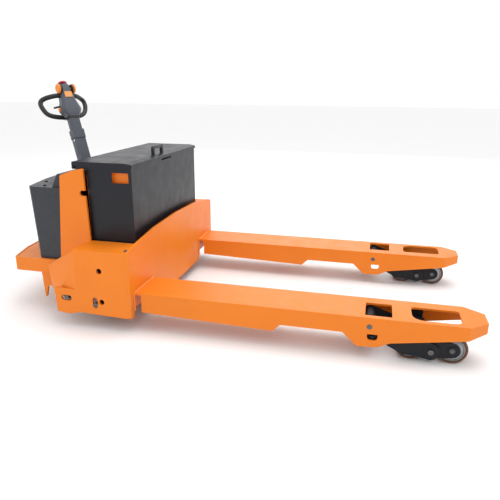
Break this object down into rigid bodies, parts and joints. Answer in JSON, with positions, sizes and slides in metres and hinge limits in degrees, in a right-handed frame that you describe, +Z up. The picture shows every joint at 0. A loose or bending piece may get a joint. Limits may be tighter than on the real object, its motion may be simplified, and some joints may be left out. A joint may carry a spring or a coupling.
{
  "type": "powered pallet truck",
  "caption": "Heavy-duty powered pallet truck with wide box forks, tandem load rollers, lidded battery box, steered drive wheel and tiller.",
  "frame": {"origin": "on the floor under the middle of the truck's overall box, forks and tiller included", "axes": "+X towards the fork tips, +Y the truck's left side seen from the tiller, +Z up"},
  "size_m": [2.4468, 1.262, 1.1908],
  "materials": {
    "orange_paint": "gloss powder coat",
    "charcoal_paint": "satin powder coat",
    "tiller_grey": "satin grey powder coat",
    "black_plastic": "fine grain",
    "cover_plastic": "satin moulding",
    "steel": "machined",
    "dark_steel": "black painted steel",
    "cast": "machined casting",
    "polyurethane": "translucent amber polyurethane",
    "red_plastic": "moulded",
    "orange_plastic": "moulded"
  },
  "bodies": {
    "chassis": {"chassis_frame": "orange_paint", "bumper_skirt": "orange_paint", "drive_cover": "cover_plastic", "pump_motor": "dark_steel", "hydraulic_tank": "dark_steel", "lift_cylinder_left": "dark_steel", "lift_cylinder_right": "dark_steel"},
    "carriage": {"front_plate": "orange_paint", "battery_tray": "orange_paint", "battery_box": "charcoal_paint", "window_panel": "orange_paint", "battery_pack": "black_plastic", "side_panel_left": "orange_paint", "side_panel_right": "orange_paint", "tie_pin_left": "steel", "tie_pin_right": "steel", "fork_left": "orange_paint", "fork_right": "orange_paint", "lever_pin_left": "steel", "lever_pin_right": "steel", "lift_ram_left": "steel", "lift_ram_right": "steel"},
    "lid": {"battery_lid": "charcoal_paint", "lid_handle": "black_plastic"},
    "rocker": {"rocker_shaft": "dark_steel"},
    "drive_unit": {"steer_post": "cast", "drive_motor": "dark_steel", "gearbox": "cast"},
    "drive_wheel": {"drive_tyre": "polyurethane", "drive_hub": "cast"},
    "tiller": {"lower_arm": "tiller_grey", "arm_pin": "steel", "upper_arm": "tiller_grey", "neck_collar": "black_plastic", "head_housing": "tiller_grey", "head_plate": "orange_plastic", "grip_loop": "black_plastic"},
    "throttle": {"knob_left": "orange_plastic", "knob_right": "orange_plastic"},
    "reverse_button": {"belly_button": "red_plastic"},
    "push_rod_left": {"push_rod_left": "dark_steel"},
    "roller_lever_left": {"roller_lever_left": "dark_steel"},
    "bogie_left": {"bogie_left": "dark_steel"},
    "caster_fork_left": {"caster_fork_left": "dark_steel"},
    "caster_wheel_left": {"caster_wheel_left": "polyurethane"},
    "thumb_button_left": {"thumb_button_left": "orange_plastic"},
    "roller_rear_left": {"roller_tread_rear_left": "polyurethane", "roller_hub_rear_left": "steel"},
    "roller_front_left": {"roller_tread_front_left": "polyurethane", "roller_hub_front_left": "steel"},
    "push_rod_right": {"push_rod_right": "dark_steel"},
    "roller_lever_right": {"roller_lever_right": "dark_steel"},
    "bogie_right": {"bogie_right": "dark_steel"},
    "caster_fork_right": {"caster_fork_right": "dark_steel"},
    "caster_wheel_right": {"caster_wheel_right": "polyurethane"},
    "thumb_button_right": {"thumb_button_right": "orange_plastic"},
    "roller_rear_right": {"roller_tread_rear_right": "polyurethane", "roller_hub_rear_right": "steel"},
    "roller_front_right": {"roller_tread_front_right": "polyurethane", "roller_hub_front_right": "steel"}
  },
  "joints": [
    {"name": "carriage_lift", "type": "slide", "parent": "chassis", "child": "carriage", "axis": [0, 0, 1], "range_m": [-0.04, 0.045]},
    {"name": "lid_hinge", "type": "hinge", "parent": "carriage", "child": "lid", "pos_m": [-0.75185, 0, 0.778], "axis": [0, -1, 0], "range_deg": [0, 75]},
    {"name": "rocker_pivot", "type": "hinge", "parent": "carriage", "child": "rocker", "pos_m": [-0.59085, 0, 0.129], "axis": [0, 1, 0], "range_deg": [-9.78, 8.72]},
    {"name": "steering", "type": "hinge", "parent": "chassis", "child": "drive_unit", "pos_m": [-0.94485, 0, 0.29], "axis": [0, 0, 1], "range_deg": [-60, 120]},
    {"name": "drive_wheel_spin", "type": "hinge", "parent": "drive_unit", "child": "drive_wheel", "pos_m": [-0.94485, 0, 0.125], "axis": [0.5, 0.866, 0], "continuous": true},
    {"name": "tiller_tilt", "type": "hinge", "parent": "drive_unit", "child": "tiller", "pos_m": [-0.96217, 0.01, 0.71], "axis": [0.5, 0.866, 0], "range_deg": [-45, 0], "stiffness_Nm_per_rad": 45, "springref_deg": 34.38},
    {"name": "throttle_turn", "type": "hinge", "parent": "tiller", "child": "throttle", "pos_m": [-1.09909, 0.08905, 1.14418], "axis": [0.5, 0.866, 0], "range_deg": [-18, 18], "stiffness_Nm_per_rad": 1.5},
    {"name": "reverse_button_press", "type": "slide", "parent": "tiller", "child": "reverse_button", "axis": [0.3104, -0.1792, -0.9336], "range_m": [0, 0.006], "stiffness_N_per_m": 800, "springref_m": -0.004},
    {"name": "push_rod_left_slide", "type": "slide", "parent": "carriage", "child": "push_rod_left", "axis": [-0.9578, 0, -0.2873], "range_m": [-0.00823, 0.0092]},
    {"name": "roller_lever_left_pivot", "type": "hinge", "parent": "carriage", "child": "roller_lever_left", "pos_m": [0.72715, 0.495, 0.156], "axis": [0, 1, 0], "range_deg": [-8.72, 9.78]},
    {"name": "bogie_left_pivot", "type": "hinge", "parent": "roller_lever_left", "child": "bogie_left", "pos_m": [0.99615, 0.495, 0.057], "axis": [0, 1, 0], "range_deg": [-9.78, 8.72]},
    {"name": "roller_rear_left_spin", "type": "hinge", "parent": "bogie_left", "child": "roller_rear_left", "pos_m": [0.90915, 0.495, 0.068], "axis": [0, 1, 0], "continuous": true},
    {"name": "roller_front_left_spin", "type": "hinge", "parent": "bogie_left", "child": "roller_front_left", "pos_m": [1.08615, 0.495, 0.068], "axis": [0, 1, 0], "continuous": true},
    {"name": "caster_left_swivel", "type": "hinge", "parent": "chassis", "child": "caster_fork_left", "pos_m": [-0.89985, 0.31, 0.2], "axis": [0, 0, 1], "continuous": true},
    {"name": "caster_left_spin", "type": "hinge", "parent": "caster_fork_left", "child": "caster_wheel_left", "pos_m": [-0.93985, 0.31, 0.06], "axis": [0, 1, 0], "continuous": true},
    {"name": "thumb_button_left_press", "type": "slide", "parent": "tiller", "child": "thumb_button_left", "axis": [-0.5, -0.866, 0], "range_m": [0, 0.002], "stiffness_N_per_m": 700, "springref_m": -0.002},
    {"name": "push_rod_right_slide", "type": "slide", "parent": "carriage", "child": "push_rod_right", "axis": [-0.9578, 0, -0.2873], "range_m": [-0.00823, 0.0092]},
    {"name": "roller_lever_right_pivot", "type": "hinge", "parent": "carriage", "child": "roller_lever_right", "pos_m": [0.72715, -0.495, 0.156], "axis": [0, 1, 0], "range_deg": [-8.72, 9.78]},
    {"name": "bogie_right_pivot", "type": "hinge", "parent": "roller_lever_right", "child": "bogie_right", "pos_m": [0.99615, -0.495, 0.057], "axis": [0, 1, 0], "range_deg": [-9.78, 8.72]},
    {"name": "roller_rear_right_spin", "type": "hinge", "parent": "bogie_right", "child": "roller_rear_right", "pos_m": [0.90915, -0.495, 0.068], "axis": [0, 1, 0], "continuous": true},
    {"name": "roller_front_right_spin", "type": "hinge", "parent": "bogie_right", "child": "roller_front_right", "pos_m": [1.08615, -0.495, 0.068], "axis": [0, 1, 0], "continuous": true},
    {"name": "caster_right_swivel", "type": "hinge", "parent": "chassis", "child": "caster_fork_right", "pos_m": [-0.89985, -0.31, 0.2], "axis": [0, 0, 1], "continuous": true},
    {"name": "caster_right_spin", "type": "hinge", "parent": "caster_fork_right", "child": "caster_wheel_right", "pos_m": [-0.93985, -0.31, 0.06], "axis": [0, 1, 0], "continuous": true},
    {"name": "thumb_button_right_press", "type": "slide", "parent": "tiller", "child": "thumb_button_right", "axis": [0.5, 0.866, 0], "range_m": [0, 0.002], "stiffness_N_per_m": 700, "springref_m": -0.002}
  ],
  "couplings": [
    {"joint": "rocker_pivot", "follows": "carriage_lift", "rad_per_m": -3.7037},
    {"joint": "push_rod_left_slide", "follows": "carriage_lift", "ratio": 0.19334},
    {"joint": "roller_lever_left_pivot", "follows": "carriage_lift", "rad_per_m": 3.7037},
    {"joint": "bogie_left_pivot", "follows": "carriage_lift", "rad_per_m": -3.7037},
    {"joint": "push_rod_right_slide", "follows": "carriage_lift", "ratio": 0.19334},
    {"joint": "roller_lever_right_pivot", "follows": "carriage_lift", "rad_per_m": 3.7037},
    {"joint": "bogie_right_pivot", "follows": "carriage_lift", "rad_per_m": -3.7037}
  ]
}
